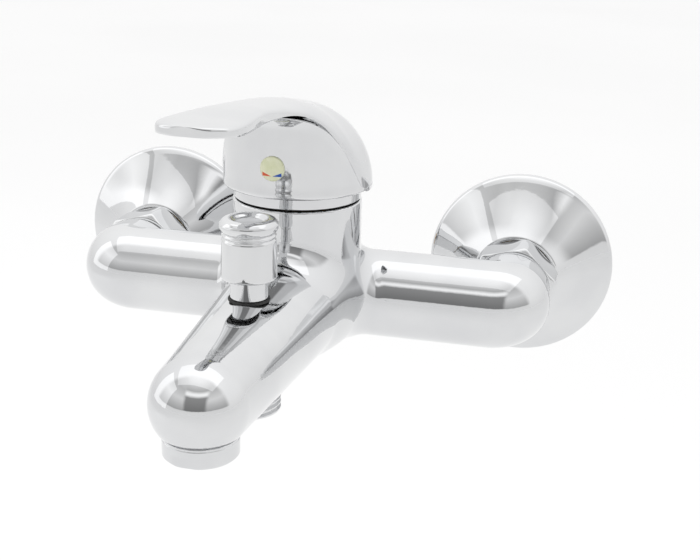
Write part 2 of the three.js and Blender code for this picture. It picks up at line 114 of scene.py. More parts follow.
def meshFrom(name, points, faces, normals=None):
    # points in millimetres; doubles at seams and poles are merged and the faces turned outwards
    mesh = bpy.data.meshes.new(name)
    mesh.from_pydata((points * 0.001).tolist(), [], faces.tolist())
    if normals is None:
        work = bmesh.new()
        work.from_mesh(mesh)
        bmesh.ops.remove_doubles(work, verts=work.verts, dist=2e-6)
        bmesh.ops.dissolve_degenerate(work, edges=work.edges, dist=1e-6)
        bmesh.ops.recalc_face_normals(work, faces=work.faces)
        work.to_mesh(mesh)
        work.free()
        place = np.zeros(len(mesh.vertices) * 3)
        mesh.vertices.foreach_get("co", place)
        place = place.reshape(-1, 3)
        mesh.calc_loop_triangles()
        triangles = np.zeros(len(mesh.loop_triangles) * 3, int)
        mesh.loop_triangles.foreach_get("vertices", triangles)
        triangles = triangles.reshape(-1, 3)
        normals = areaNormals(place, np.column_stack([triangles, triangles[:, 0]]))
    mesh.shade_smooth()
    mesh.normals_split_custom_set_from_vertices(normals.tolist())
    return mesh


def addPiece(name, mesh, material, body, slotName, *replaced):
    piece = bpy.data.objects.new(name, mesh)
    bpy.context.scene.collection.objects.link(piece)
    mesh.materials.clear()
    mesh.materials.append(material)
    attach(piece, body)
    if replaced:
        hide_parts(*replaced)
    return piece


def join(parts):
    # stacks several (points, faces) pairs into one
    points = np.concatenate([p for p, _ in parts])
    starts = np.cumsum([0] + [len(p) for p, _ in parts[:-1]])
    faces = np.concatenate([f + start for (_, f), start in zip(parts, starts)])
    return points, faces


def soften(corners, radius, steps=4):
    # each inner corner becomes a short parabola that starts and ends `radius` from it, or half way to its neighbour
    corners = np.array(corners, float)
    sizes = np.broadcast_to(np.array(radius, float), (len(corners) - 2,))
    here, before, after = corners[1:-1], corners[:-2], corners[2:]

    def towards(other):
        arm = other - here
        length = np.maximum(np.linalg.norm(arm, axis=1, keepdims=True), 1e-9)
        return here + arm / length * np.minimum(sizes[:, None], 0.48 * length)

    start, end = towards(before), towards(after)
    t = np.linspace(0, 1, steps)[None, :, None]
    curve = (1 - t) ** 2 * start[:, None] + 2 * t * (1 - t) * here[:, None] + t ** 2 * end[:, None]
    return np.concatenate([corners[:1], curve.reshape(-1, 2), corners[-1:]])


def closedRing(corners, radius, steps=4):
    # the same for a section that closes on itself: it starts in the middle of its first side
    corners = [tuple(c) for c in corners]
    start = tuple((np.array(corners[0]) + np.array(corners[-1])) / 2)
    return soften([start] + corners + [start], radius, steps)


def turned(profile, centre, axis="z", sides=96, radiusOf=None):
    # (radius, height) carried round an axis; radiusOf(angle, radius, height) may shape it further
    around = np.linspace(0, 2 * np.pi, sides + 1)
    angle, radius = np.meshgrid(around, profile[:, 0], indexing="ij")
    height = np.broadcast_to(profile[:, 1], radius.shape)
    if radiusOf:
        radius = radiusOf(angle, radius, height)
    flat = [centre[0] + radius * np.cos(angle)]
    if axis == "z":
        flat += [centre[1] + radius * np.sin(angle), height]
    else:
        flat += [height, centre[1] + radius * np.sin(angle)]
    points = np.stack(flat, -1).reshape(-1, 3)
    return points, gridFaces(sides + 1, len(profile))


# fields for cast shapes: below 0 inside, in millimetres

def roundUnion(a, b, radius):
    # the smaller field, with a concave fillet of that radius where the two cross
    inside = np.hypot(np.maximum(radius - a, 0), np.maximum(radius - b, 0))
    return np.maximum(radius, np.minimum(a, b)) - inside


def roundCut(a, b, radius):
    # the larger field, with a convex rounding of that radius where the two cross
    outside = np.hypot(np.maximum(radius + a, 0), np.maximum(radius + b, 0))
    return np.minimum(-radius, np.maximum(a, b)) + outside


def smoothStep(value, start, end):
    t = np.clip((value - start) / (end - start), 0, 1)
    return t * t * (3 - 2 * t)


def gradient(field, points, step=0.02):
    parts = []
    for k in range(3):
        move = np.zeros(3)
        move[k] = step
        parts.append((field(*(points + move).T) - field(*(points - move).T)) / (2 * step))
    return np.stack(parts, 1)


def fieldSurface(field, low, high, pitch, rounds=2):
    # Samples the field on a grid. Each cell that the surface crosses gets one point, at the mean of the
    # crossings on its twelve edges, and each crossed edge joins its four cells with a quad. The points are
    # then relaxed and slid down the field's gradient until the field there is 0.
    axes = [np.arange(a, b + pitch, pitch) for a, b in zip(low, high)]
    values = field(*np.meshgrid(*axes, indexing="ij"))
    inside = values < 0
    corners = np.array([(i, j, k) for i in (0, 1) for j in (0, 1) for k in (0, 1)])
    shape = tuple(n - 1 for n in values.shape)
    count = np.zeros(shape, int)
    for i, j, k in corners:
        count += inside[i:i + shape[0], j:j + shape[1], k:k + shape[2]]
    cells = np.argwhere((count > 0) & (count < 8))
    number = np.full(shape, -1)
    number[tuple(cells.T)] = np.arange(len(cells))
    total = np.zeros((len(cells), 3))
    hits = np.zeros((len(cells), 1))
    for a in corners:
        for k in range(3):
            if a[k]:
                continue
            b = a.copy()
            b[k] = 1
            va, vb = values[tuple((cells + a).T)], values[tuple((cells + b).T)]
            crossed = (va < 0) != (vb < 0)
            share = np.where(crossed, va / np.where(crossed, va - vb, 1), 0)[:, None]
            total += crossed[:, None] * (cells + a + share * (b - a))
            hits += crossed[:, None]
    points = np.array(low) + total / hits * pitch
    faces = []
    for k in range(3):
        near = [slice(None)] * 3
        far = [slice(None)] * 3
        near[k], far[k] = slice(None, -1), slice(1, None)
        start, end = inside[tuple(near)], inside[tuple(far)]
        u, v = (k + 1) % 3, (k + 2) % 3
        for mask, flip in ((start & ~end, False), (~start & end, True)):
            edge = np.argwhere(mask)
            ring = []
            for du, dv in ((1, 1), (0, 1), (0, 0), (1, 0)):
                cell = edge.copy()
                cell[:, u] -= du
                cell[:, v] -= dv
                ring.append(number[tuple(cell.T)])
            faces.append(np.stack(ring[::-1] if flip else ring, 1))
    faces = np.concatenate(faces)
    for turn in range(rounds + 1):
        for _ in range(4):
            slope = gradient(field, points)
            steep = np.maximum((slope ** 2).sum(1), 0.05)
            points = points - (field(*points.T) / steep)[:, None] * slope
        if turn < rounds:
            near = np.zeros_like(points)
            links = np.zeros((len(points), 1))
            for k in range(4):
                np.add.at(near, faces[:, k], points[faces[:, (k + 1) % 4]] + points[faces[:, k - 1]])
                np.add.at(links, faces[:, k], 2)
            points = points * 0.4 + near / links * 0.6
    slope = gradient(field, points)
    return points, faces, slope / np.maximum(np.linalg.norm(slope, axis=1, keepdims=True), 1e-9)


# shader tools

def newMaterial(name):
    material = bpy.data.materials.new(name)
    material.use_nodes = True
    tree = material.node_tree
    return material, tree, tree.nodes["Principled BSDF"]


def groupTree(name, inputs, outputs):
    tree = bpy.data.node_groups.new(name, "ShaderNodeTree")
    for label, kind in inputs:
        tree.interface.new_socket(label, in_out="INPUT", socket_type=kind)
    for label, kind in outputs:
        tree.interface.new_socket(label, in_out="OUTPUT", socket_type=kind)
    return tree, tree.nodes.new("NodeGroupInput"), tree.nodes.new("NodeGroupOutput")


def makeUneven():
    # soft clouds: Value runs from Low to High over the surface
    tree, given, result = groupTree(
        "unevenFinish",
        [("Size", "NodeSocketFloat"), ("Low", "NodeSocketFloat"), ("High", "NodeSocketFloat")],
        [("Value", "NodeSocketFloat")])
    place = tree.nodes.new("ShaderNodeTexCoord")
    clouds = tree.nodes.new("ShaderNodeTexNoise")
    clouds.inputs["Detail"].default_value = 3
    tree.links.new(place.outputs["Object"], clouds.inputs["Vector"])
    tree.links.new(given.outputs["Size"], clouds.inputs["Scale"])
    spread = tree.nodes.new("ShaderNodeMapRange")
    spread.interpolation_type = "SMOOTHSTEP"
    spread.inputs["From Min"].default_value = 0.3
    spread.inputs["From Max"].default_value = 0.7
    tree.links.new(clouds.outputs["Fac"], spread.inputs["Value"])
    tree.links.new(given.outputs["Low"], spread.inputs["To Min"])
    tree.links.new(given.outputs["High"], spread.inputs["To Max"])
    tree.links.new(spread.outputs["Result"], result.inputs["Value"])
    return tree


def makeRipple():
    # height of a plated or moulded skin: a long wave plus a short one at a quarter of its height
    tree, given, result = groupTree(
        "skinRipple",
        [("Size", "NodeSocketFloat"), ("Fine", "NodeSocketFloat")],
        [("Height", "NodeSocketFloat")])
    place = tree.nodes.new("ShaderNodeTexCoord")
    wave = tree.nodes.new("ShaderNodeTexNoise")
    fine = tree.nodes.new("ShaderNodeTexNoise")
    wave.inputs["Detail"].default_value = 1
    fine.inputs["Detail"].default_value = 2
    for noise, label in ((wave, "Size"), (fine, "Fine")):
        tree.links.new(place.outputs["Object"], noise.inputs["Vector"])
        tree.links.new(given.outputs[label], noise.inputs["Scale"])
    add = tree.nodes.new("ShaderNodeMath")
    add.operation = "MULTIPLY_ADD"
    add.inputs[1].default_value = 0.25
    tree.links.new(fine.outputs["Fac"], add.inputs[0])
    tree.links.new(wave.outputs["Fac"], add.inputs[2])
    tree.links.new(add.outputs["Value"], result.inputs["Height"])
    return tree


unevenFinish = makeUneven()
skinRipple = makeRipple()


def placeGroup(tree, group, **values):
    node = tree.nodes.new("ShaderNodeGroup")
    node.node_tree = group
    for label, value in values.items():
        node.inputs[label].default_value = value
    return node


def dressSurface(name, look):
    # two tones mixed by clouds, uneven roughness and a rippled skin, on one Principled shader
    material, tree, shader = newMaterial(name)
    shader.inputs["Metallic"].default_value = look["metal"]
    tone = placeGroup(tree, unevenFinish, Size=look["cloudSize"], Low=0.0, High=1.0)
    mix = tree.nodes.new("ShaderNodeMix")
    mix.data_type = "RGBA"
    mix.inputs["A"].default_value = (*look["colour"], 1)
    mix.inputs["B"].default_value = (*look["otherColour"], 1)
    tree.links.new(tone.outputs["Value"], mix.inputs["Factor"])
    tree.links.new(mix.outputs["Result"], shader.inputs["Base Color"])
    rough = placeGroup(tree, unevenFinish, Size=look["hazeSize"], Low=look["rough"][0], High=look["rough"][1])
    tree.links.new(rough.outputs["Value"], shader.inputs["Roughness"])
    ripple = placeGroup(tree, skinRipple, Size=look["rippleSize"], Fine=look["fineSize"])
    bump = tree.nodes.new("ShaderNodeBump")
    bump.inputs["Strength"].default_value = look["bump"]
    bump.inputs["Distance"].default_value = look["bumpHeight"]
    tree.links.new(ripple.outputs["Height"], bump.inputs["Height"])
    tree.links.new(bump.outputs["Normal"], shader.inputs["Normal"])
    return material


chromeLook = {
    "metal": 1.0, "colour": (0.71, 0.715, 0.72), "otherColour": (0.66, 0.665, 0.675), "cloudSize": 38,
    "rough": (0.025, 0.06), "hazeSize": 55, "rippleSize": 60, "fineSize": 420, "bump": 0.12, "bumpHeight": 0.0004,
}
looks = {
    "chrome_body": chromeLook,
    "chrome_handle": {**chromeLook, "rough": (0.03, 0.075), "rippleSize": 75},
    "chrome_trim": {**chromeLook, "rough": (0.02, 0.05), "bump": 0.06},
    "brass": {
        "metal": 1.0, "colour": (0.72, 0.53, 0.25), "otherColour": (0.60, 0.43, 0.19), "cloudSize": 90,
        "rough": (0.22, 0.42), "hazeSize": 160, "rippleSize": 300, "fineSize": 1400, "bump": 0.3, "bumpHeight": 0.0002,
    },
    "rubber": {
        "metal": 0.0, "colour": (0.012, 0.012, 0.013), "otherColour": (0.03, 0.03, 0.03), "cloudSize": 200,
        "rough": (0.55, 0.8), "hazeSize": 220, "rippleSize": 500, "fineSize": 2600, "bump": 0.4, "bumpHeight": 0.0002,
    },
    "steel": {
        "metal": 1.0, "colour": (0.62, 0.63, 0.65), "otherColour": (0.50, 0.51, 0.53), "cloudSize": 160,
        "rough": (0.2, 0.38), "hazeSize": 240, "rippleSize": 420, "fineSize": 1900, "bump": 0.25, "bumpHeight": 0.0002,
    },
    "ceramic": {
        "metal": 0.0, "colour": (0.86, 0.84, 0.79), "otherColour": (0.80, 0.77, 0.71), "cloudSize": 120,
        "rough": (0.12, 0.25), "hazeSize": 130, "rippleSize": 350, "fineSize": 1500, "bump": 0.1, "bumpHeight": 0.0001,
    },
    "white_plastic": {
        "metal": 0.0, "colour": (0.84, 0.84, 0.82), "otherColour": (0.76, 0.76, 0.73), "cloudSize": 110,
        "rough": (0.35, 0.55), "hazeSize": 180, "rippleSize": 380, "fineSize": 2200, "bump": 0.3, "bumpHeight": 0.0002,
    },
}
finishes = {slotName: dressSurface(slotName, look) for slotName, look in looks.items()}
print("finishes made:", len(finishes))


# valve body: barrel, arms and spout cast as one

bodyShape = {
    "barrelRadius": 23.07, "barrelBottom": -15.0, "bottomRounding": 13.0,
    "armY": -55.2, "armRadius": 16.1, "neckRadius": 15.0, "bend": 6.0, "neckEnd": -37.7, "neckRounding": 2.4,
    "spoutZ": 1.5, "rootY": -90.0, "rootHalf": (21.2, 18.8), "tipHalf": (15.3, 14.9), "rootDrop": 3.7,
    "armFillet": 8.0, "spoutFillet": 9.0, "seatZ": -7.7, "seatStart": 12.5, "seatSlope": 0.364,
    "recessRadius": 11.2, "recessZ": -12.6, "channelRadius": 8.9, "channelZ": -7.6,
    "wellRadius": 19.9, "wellZ": 33.5, "boreRadius": 10.8,
    "pitch": 0.9,
}


def barrelField(x, y, z):
    # round cylinder, closed by a rounded bottom and a nearly sharp top
    shape = bodyShape
    side = np.hypot(x, y - barrelY) - shape["barrelRadius"]
    closed = roundCut(side, shape["barrelBottom"] - z, shape["bottomRounding"])
    return roundCut(closed, z - seamZ, 0.6)


def armField(x, y, z):
    # distance from a centre line that runs along X, bends back through a quarter turn and meets the neck
    shape = bodyShape
    out = np.abs(x)
    bend = shape["bend"]
    cornerX, cornerY = inletX - bend, shape["armY"] + bend
    straight = np.hypot(np.maximum(out - cornerX, 0), y - shape["armY"])
    neck = np.hypot(out - inletX, np.maximum(cornerY - y, 0))
    inCorner = (out > cornerX) & (y < cornerY)
    corner = np.where(inCorner, np.abs(np.hypot(out - cornerX, y - cornerY) - bend), 1e3)
    level = np.minimum(np.minimum(straight, neck), corner)
    narrowing = (shape["armRadius"] - shape["neckRadius"]) * smoothStep(y, shape["armY"], shape["neckEnd"])
    tube = np.hypot(level, z) - shape["armRadius"] + narrowing * smoothStep(out, 55, 66)
    return roundCut(tube, y - shape["neckEnd"], shape["neckRounding"])


def spoutField(x, y, z):
    # oval bar whose half width and height shrink with y, closed by an oval ball past the aerator
    shape = bodyShape
    along = (y - shape["rootY"]) / (aeratorY - shape["rootY"])
    along = np.clip(along, -0.3, 1)
    half = shape["rootHalf"][0] + along * (shape["tipHalf"][0] - shape["rootHalf"][0])
    tall = shape["rootHalf"][1] + along * (shape["tipHalf"][1] - shape["rootHalf"][1])
    tall = tall - shape["rootDrop"] * smoothStep(y, shape["rootY"], barrelY)
    past = np.maximum(aeratorY - y, 0) / shape["tipHalf"][0]
    reach = np.sqrt((x / half) ** 2 + ((z - shape["spoutZ"]) / tall) ** 2 + past ** 2) - 1
    return np.maximum(reach * (half + tall) / 2, y - barrelY)


def bodyField(x, y, z):
    shape = bodyShape
    solid = roundUnion(barrelField(x, y, z), armField(x, y, z), shape["armFillet"])
    solid = roundUnion(solid, spoutField(x, y, z), shape["spoutFillet"])
    solid = np.maximum(solid, z - seamZ)
    slope = np.maximum(y - (aeratorY + shape["seatStart"]), 0) * shape["seatSlope"]
    underSpout = np.where(y < barrelY - 20, shape["seatZ"] - slope - z, -50)
    solid = roundCut(solid, underSpout, 0.9)
    recess = np.maximum(np.hypot(x, y - outletY) - shape["recessRadius"], z - shape["recessZ"])
    well = np.maximum(np.hypot(x, y - barrelY) - shape["wellRadius"], shape["wellZ"] - z)
    bores = np.hypot(np.abs(x) - inletX, z) - shape["boreRadius"]
    bores = np.maximum(bores, shape["armY"] - y)
    channel = np.maximum(np.hypot(x, y - outletY) - shape["channelRadius"], z - shape["channelZ"])
    for hole in (recess, channel, well, bores):
        solid = roundCut(solid, -hole, 0.4)
    return solid


def makeValveBody():
    low, high = boxOf("valve_body")
    margin = np.full(3, 2.0)
    points, faces, normals = fieldSurface(bodyField, low - margin, high + margin, bodyShape["pitch"])
    mesh = meshFrom("valveBody", points, faces, normals)
    addPiece("valveBody", mesh, finishes["chrome_body"], "mixer", "chrome_body", "valve_body")
    print("valve body:", len(faces), "quads")


makeValveBody()


# wall covers, nuts and unions on the wall side

coverShape = {"rim": 36.7, "lip": 1.3, "neck": 16.1, "depth": 22.0, "hollow": 1.6, "wall": 1.2, "lipDepth": 4.6}
nutShape = {"flats": 30.0, "turn": 15.0, "front": -37.4, "back": -22.4, "bore": 11.3}
unionShape = {"big": 13.05, "small": 10.4, "offset": -5.0, "pitch": 1.8, "depth": 1.1}


def makeCover(side, x):
    # radius falls from rim to neck along the depth, pulled in by a half sine so the cone is hollow
    shape = coverShape
    t = np.linspace(0, 1, 24)
    foot = shape["rim"] - shape["lip"]
    radius = foot + (shape["neck"] - foot) * t - shape["hollow"] * np.sin(np.pi * t)
    height = -shape["lipDepth"] - (shape["depth"] - shape["lipDepth"]) * t
    hole = unionShape["big"] + 0.3
    edge = soften([(shape["rim"] - shape["wall"], 0), (shape["rim"], 0), (shape["rim"], -3.2), (foot, -4.6)], 1.0)
    face = np.stack([radius, height], 1)
    mouth = np.array([(hole, -shape["depth"]), (hole, -shape["depth"] + shape["wall"])])
    inner = np.stack([radius - shape["wall"], height + shape["wall"]], 1)[::-1]
    close = np.array([(shape["rim"] - shape["wall"], -3.0), (shape["rim"] - shape["wall"], 0)])
    profile = np.concatenate([edge, face, mouth, inner, close])
    points, faces = turned(profile, (x, 0), "y", 144)
    name = "escutcheon_" + side
    addPiece("wallCover_" + side, meshFrom(name, points, faces), finishes["chrome_trim"], "mixer", "chrome_trim", name)


def makeNut(side, x):
    # six flats, with the corners turned down by a cone at each end: radius is a soft least of flat, cone
    # and a circle just inside the corners
    shape = nutShape
    flat = shape["flats"] / 2
    start = math.radians(shape["turn"])
    sharpness = 8  # how closely the blend follows the least of its limits, per mm

    def hexagon(angle, radius, height):
        fromFlat = np.mod(angle - start, np.pi / 3) - np.pi / 6
        side6 = flat / np.cos(fromFlat)
        ends = np.minimum(height - shape["front"], shape["back"] - height)
        cone = flat + 0.1 + ends * 1.3
        limits = (side6, cone, flat / math.cos(math.pi / 6) - 0.3)
        least = -np.log(sum(np.exp(-sharpness * limit) for limit in limits)) / sharpness
        return np.where(radius > flat - 0.5, np.maximum(least, flat * 0.97), radius)

    ys = np.linspace(shape["front"], shape["back"], 44)
    outer = np.stack([np.full(len(ys), flat), ys], 1)
    bore = np.array([(shape["bore"], shape["back"]), (shape["bore"], shape["front"])])
    profile = np.concatenate([[(shape["bore"], shape["front"])], outer, bore])
    points, faces = turned(profile, (x, 0), "y", 180, hexagon)
    name = "union_nut_" + side
    addPiece("unionNut_" + side, meshFrom(name, points, faces), finishes["chrome_trim"], "nut_" + side,
             "chrome_trim", name)


def thread(pitch, depth, zLow, zHigh):
    # radius falls by a blunt tooth whose place moves on by one pitch each turn, and fades at both ends
    def shaped(angle, radius, height):
        phase = np.mod(height / pitch - angle / (2 * np.pi), 1)
        tooth = np.clip(np.abs(phase - 0.5) * 4 - 0.5, 0, 1)
        fade = smoothStep(height, zLow, zLow + 0.8) * smoothStep(height, zHigh, zHigh - 0.8)
        return radius - depth * tooth * fade
    return shaped


def makeUnion(side, x):
    # threaded wall end, lower by the offset, joined to the wide end that the nut screws on
    shape = unionShape
    low, high = boxOf("wall_union_" + side)
    ys = np.linspace(-7, high[1] - 0.6, 130)
    wall = np.stack([np.full(len(ys), shape["small"]), ys], 1)
    inner = np.array([(9.4, high[1]), (7.0, high[1]), (7.0, -7.5), (10.0, -7.5), (shape["small"], -7)])
    tooth = thread(shape["pitch"], shape["depth"], -6.5, high[1] - 0.6)

    def outside(angle, radius, height):
        return np.where(radius > shape["small"] - 0.01, tooth(angle, radius, height), radius)

    threaded = turned(np.concatenate([wall, inner]), (x, shape["offset"]), "y", 64, outside)
    ring = closedRing([(8, low[1]), (shape["big"], low[1]), (shape["big"], -12), (11.5, -8), (9, -8), (8, -10)], 0.5)
    wide = turned(ring, (x, 0), "y", 72)
    points, faces = join([threaded, wide])
    name = "wall_union_" + side
    addPiece("wallUnion_" + side, meshFrom(name, points, faces), finishes["brass"], "mixer", "brass", name)


for side, x in (("left", -inletX), ("right", inletX)):
    makeCover(side, x)
    makeNut(side, x)
    makeUnion(side, x)
print("wall side made")


# collar between barrel and handle

def makeCollar():
    axis = (0, barrelY)
    low, high = boxOf("cover_ring")
    bottom = seamZ + 0.65
    ring = closedRing([(20, bottom), (22.8, bottom), (22.8, high[2] - 1), (21.8, high[2]), (20, high[2])], 0.35)
    points, faces = turned(ring, axis, sides=160)
    addPiece("coverRing", meshFrom("coverRing", points, faces), finishes["chrome_trim"], "mixer", "chrome_trim",
             "cover_ring")
    low, high = boxOf("body_seal_ring")
    ring = closedRing([(20.6, low[2]), (22.2, low[2]), (22.2, high[2]), (20.6, high[2])], 0.2)
    points, faces = turned(ring, axis, sides=160)
    addPiece("bodySeal", meshFrom("bodySeal", points, faces), finishes["rubber"], "mixer", "rubber", "body_seal_ring")


makeCollar()


# handle: a hood that runs out into the lever, over a round skirt

handleShape = {
    # distance in front of the axis, half width, height of the rim, height of the crest
    "stations": [
        (-26.5, 0.0, 43.5, 43.9), (-26.3, 4.2, 43.5, 49.4), (-25, 8.8, 43.5, 55.0), (-22, 15.2, 43.5, 61.2),
        (-17, 20.7, 43.5, 66.8), (-10, 24.7, 43.5, 70.5), (-3, 26.3, 43.5, 72.6), (5.5, 26.0, 44.0, 74.4),
        (12.8, 23.2, 55.4, 75.8), (19, 18.6, 65.2, 76.9), (25, 14.6, 71.1, 77.8), (35, 11.6, 74.3, 78.9),
        (47, 10.2, 75.6, 79.9), (60, 10.6, 76.4, 80.6), (72, 12.0, 77.0, 80.9), (82, 13.0, 77.4, 81.1),
        (88.5, 12.2, 77.7, 81.2), (93.0, 9.2, 78.0, 81.2), (95.4, 4.6, 78.1, 81.1), (95.8, 0.0, 78.2, 81.0),
    ],
    "skirtRadius": 26.1, "lipRadius": 26.35, "inside": 24.3, "rows": 220, "columns": 72,
}


def spline(values, count):
    # uniform cubic B-spline; each inner control point is first pushed out by a sixth of the bend at it
    values = np.array(values, float)
    control = values.copy()
    control[1:-1] -= (values[:-2] - 2 * values[1:-1] + values[2:]) / 6
    control = np.concatenate([[2 * control[0] - control[1]], control, [2 * control[-1] - control[-2]]])
    place = np.linspace(0, len(values) - 1, count)
    cell = np.minimum(place.astype(int), len(values) - 2)
    t = (place - cell)[:, None]
    weights = [(1 - t) ** 3, 3 * t ** 3 - 6 * t ** 2 + 4, -3 * t ** 3 + 3 * t ** 2 + 3 * t + 1, t ** 3]
    return sum(w * control[cell + k] for k, w in enumerate(weights)) / 6


def handlePlace(x, s, z):
    # from across, distance in front of the axis and height to the frame: the lever's own turn about Z
    right = np.array([-leverForward[1], leverForward[0]])
    flat = x[..., None] * right + s[..., None] * leverForward[:2]
    return np.stack([flat[..., 0], flat[..., 1] + barrelY, z], -1).reshape(-1, 3)


def makeHood():
    # Each row is an arch over the rim, cos for across and sin for up, squarer towards the lever's end.
    # It returns under itself: as a smaller arch inside the hollow head, and nearly flat under the lever.
    shape = handleShape
    s, half, rim, crest = spline(shape["stations"], shape["rows"]).T[:, :, None]
    half = np.maximum(half, 0)
    blade = smoothStep(s, 20, 70)
    around = np.pi / 2 * (1 - np.cos(np.linspace(0, np.pi, shape["columns"])))[None, :]
    across = np.sign(np.cos(around)) * np.abs(np.cos(around)) ** (1 - 0.45 * blade)
    up = np.abs(np.sin(around)) ** (1 - 0.72 * blade)
    outer = [half * across, s + 0 * across, rim + (crest - rim) * up]
    hollow = 1 - smoothStep(s, 17, 25)
    innerHalf = np.maximum(half * 0.9 * (1 - hollow) + half * 0.917 * hollow, 0)
    innerS = np.where(s < 0, s * shape["inside"] / shape["lipRadius"], s)
    innerUp = (crest - rim) * (0.86 * hollow + 0.02 * (1 - hollow))
    inner = [-innerHalf * np.cos(around), innerS + 0 * around, rim + innerUp * np.sin(around)]
    rows = [np.concatenate([a, b, a[:, :1]], 1) for a, b in zip(outer, inner)]
    points = handlePlace(*rows)
    return points, gridFaces(shape["rows"], rows[0].shape[1])


def makeSkirt():
    # wall of a cylinder from the lip to just inside the hood, flared into a cove under the lever
    shape = handleShape
    stations = spline(shape["stations"], 400)
    around = np.linspace(0, 2 * np.pi, 241)[:, None]  # 0 is straight ahead
    front = shape["skirtRadius"] * np.cos(around)
    top = np.interp(front, stations[:, 0], stations[:, 2]) + 0.5
    top = np.maximum(top, lipZ + 1.0)
    t = np.linspace(0, 1, 40)[None, :]
    z = lipZ + (top - lipZ) * t
    lip = (shape["lipRadius"] - shape["skirtRadius"]) * (1 - smoothStep(z, lipZ + 0.8, lipZ + 4))
    nearTop = np.clip((z - top + 5) / 5, 0, 1) ** 3
    ahead = np.exp(-(np.mod(around + np.pi, 2 * np.pi) - np.pi) ** 2 / 0.14)
    radius = shape["skirtRadius"] + lip + nearTop * (0.3 + 3.0 * ahead)
    radius = radius - 0.5 * (1 - smoothStep(z, lipZ - 0.01, lipZ + 0.5))
    inner = np.full_like(radius, shape["inside"])
    radius = np.concatenate([radius, inner[:, ::-1], radius[:, :1]], 1)
    z = np.concatenate([z, z[:, ::-1], z[:, :1]], 1)
    points = handlePlace(radius * np.sin(around), radius * np.cos(around), z)
    return points, gridFaces(241, z.shape[1])


def makeHandle():
    boss = closedRing([(5.8, 50.5), (7.2, 50.5), (7.2, 70), (5.8, 70)], 0.3)
    parts = join([makeHood(), makeSkirt(), turned(boss, (0, barrelY), sides=48)])
    mesh = meshFrom("leverHandle", *parts)
    addPiece("leverHandle", mesh, finishes["chrome_handle"], "lever", "chrome_handle", "handle")
    print("handle:", len(mesh.polygons), "faces")


makeHandle()


# index badge: a domed cream disc with a red and a blue wedge

badgeShape = {"radius": 4.25, "dome": 0.35, "proud": 0.75, "thick": 1.6}


def badgeMaterial():
    material, tree, shader = newMaterial("badge")
    place = tree.nodes.new("ShaderNodeUVMap")
    place.uv_map = "face"
    split = tree.nodes.new("ShaderNodeSeparateXYZ")
    tree.links.new(place.outputs["UV"], split.inputs["Vector"])

    def calc(operation, *values):
        node = tree.nodes.new("ShaderNodeMath")
        node.operation = operation
        for socket, value in zip(node.inputs, values):
            if isinstance(value, (int, float)):
                socket.default_value = value
            else:
                tree.links.new(value, socket)
        return node.outputs["Value"]

    u, v = split.outputs["X"], split.outputs["Y"]

    def wedge(side):
        # a triangle that is tall near the badge's edge and runs out to a point below its middle
        out = calc("MULTIPLY", u, side)
        share = calc("SUBTRACT", out, 0.08)
        inEdge = calc("LESS_THAN", out, 0.8)
        belowTop = calc("LESS_THAN", v, calc("MULTIPLY_ADD", share, 0.42, -0.58))
        aboveFoot = calc("GREATER_THAN", v, -0.60)
        started = calc("GREATER_THAN", share, 0.0)
        return calc("MULTIPLY", calc("MULTIPLY", inEdge, belowTop), calc("MULTIPLY", aboveFoot, started))

    tone = placeGroup(tree, unevenFinish, Size=260.0, Low=0.0, High=1.0)
    base = tree.nodes.new("ShaderNodeMix")
    base.data_type = "RGBA"
    base.inputs["A"].default_value = (0.83, 0.84, 0.62, 1)
    base.inputs["B"].default_value = (0.76, 0.79, 0.52, 1)
    tree.links.new(tone.outputs["Value"], base.inputs["Factor"])
    last = base
    for side, colour in ((-1, (0.72, 0.10, 0.03, 1)), (1, (0.02, 0.10, 0.45, 1))):
        mix = tree.nodes.new("ShaderNodeMix")
        mix.data_type = "RGBA"
        mix.inputs["B"].default_value = colour
        tree.links.new(wedge(side), mix.inputs["Factor"])
        tree.links.new(last.outputs["Result"], mix.inputs["A"])
        last = mix
    tree.links.new(last.outputs["Result"], shader.inputs["Base Color"])
    rough = placeGroup(tree, unevenFinish, Size=300.0, Low=0.22, High=0.36)
    tree.links.new(rough.outputs["Value"], shader.inputs["Roughness"])
    return material


def makeBadge():
    # radius and rise of a shallow dome, its axis along the lever's level direction
    shape = badgeShape
    centreZ = middleOf("index_badge")[2]
    face = handleShape["skirtRadius"] + shape["proud"]
    t = np.linspace(0, 1, 12)
    dome = np.stack([shape["radius"] * t, face - shape["dome"] * t ** 2], 1)
    edge = np.array([(shape["radius"], face - shape["thick"]), (0, face - shape["thick"])])
    profile = np.concatenate([dome, edge])
    around = np.linspace(0, 2 * np.pi, 65)[:, None]
    across = profile[None, :, 0] * np.cos(around)
    height = centreZ + profile[None, :, 0] * np.sin(around)
    points = handlePlace(across, np.broadcast_to(profile[None, :, 1], across.shape), height)
    mesh = meshFrom("indexBadge", points, gridFaces(65, len(profile)))
    layer = mesh.uv_layers.new(name="face")
    corner = np.zeros(len(mesh.loops), int)
    mesh.loops.foreach_get("vertex_index", corner)
    place = np.zeros(len(mesh.vertices) * 3)
    mesh.vertices.foreach_get("co", place)
    place = place.reshape(-1, 3)[corner] * 1000
    right = np.array([-leverForward[1], leverForward[0]])
    uv = np.stack([place[:, 0] * right[0] + (place[:, 1] - barrelY) * right[1], place[:, 2] - centreZ], 1)
    layer.data.foreach_set("uv", (uv / shape["radius"]).astype(np.float32).ravel())
    addPiece("indexBadge", mesh, badgeMaterial(), "lever", "badge", "index_badge")


makeBadge()
print("handle and badge made")


# diverter: pull knob, neck and its black ring

